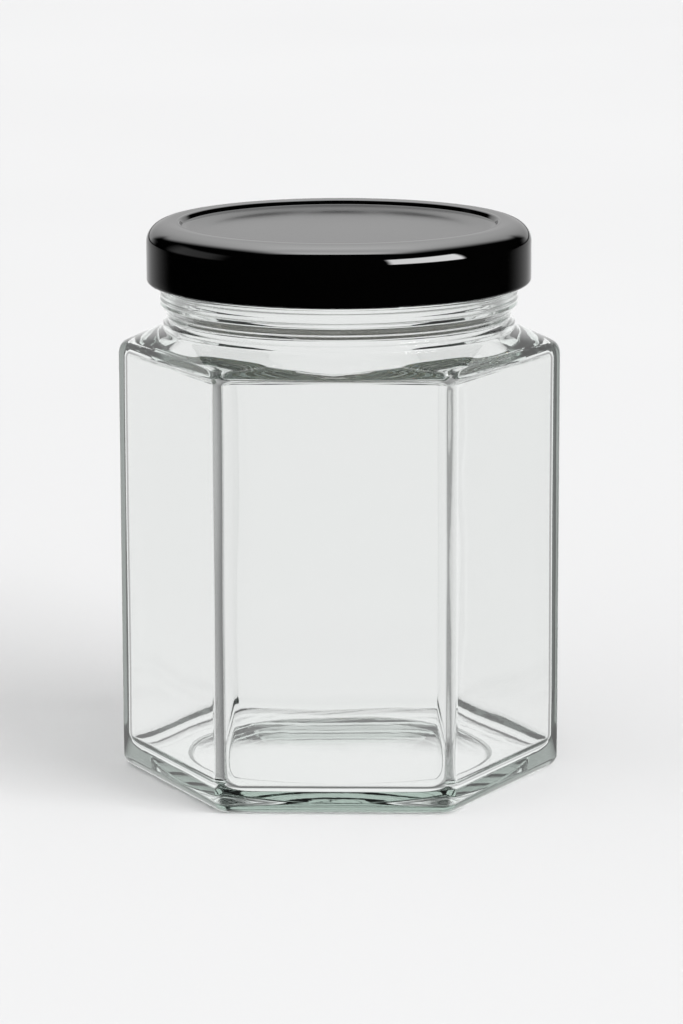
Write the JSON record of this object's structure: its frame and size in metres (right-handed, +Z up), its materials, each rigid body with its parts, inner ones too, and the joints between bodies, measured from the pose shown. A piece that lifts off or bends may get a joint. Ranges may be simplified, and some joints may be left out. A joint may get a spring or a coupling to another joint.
{
  "type": "hexagonal glass jar",
  "caption": "Clear hexagonal glass jar with a round neck and a gloss black metal twist-off cap with a recessed top.",
  "frame": {"origin": "centre of the jar's footprint on the resting plane", "axes": "+Z up along the axis of the neck and cap; two opposite vertical edges of the hexagon lie on X, and flat panels face -Y (the front) and +Y"},
  "size_m": [0.076, 0.0662, 0.0962],
  "materials": {
    "glass": "clear",
    "plastisol": "satin",
    "black_lacquer": "gloss"
  },
  "bodies": {
    "jar": {"jar_body": "glass"},
    "gasket": {"lid_gasket": "plastisol"},
    "lid": {"lid_shell": "black_lacquer"}
  },
  "joints": [
    {"name": "lid_rise", "type": "slide", "parent": "jar", "child": "gasket", "axis": [0, 0, 1], "range_m": [0, 0.0101]},
    {"name": "lid_twist", "type": "hinge", "parent": "gasket", "child": "lid", "pos_m": [0, 0, 0.091], "axis": [0, 0, 1], "range_deg": [0, 225]}
  ],
  "couplings": [
    {"joint": "lid_rise", "follows": "lid_twist", "m_per_rad": 0.0025465}
  ]
}
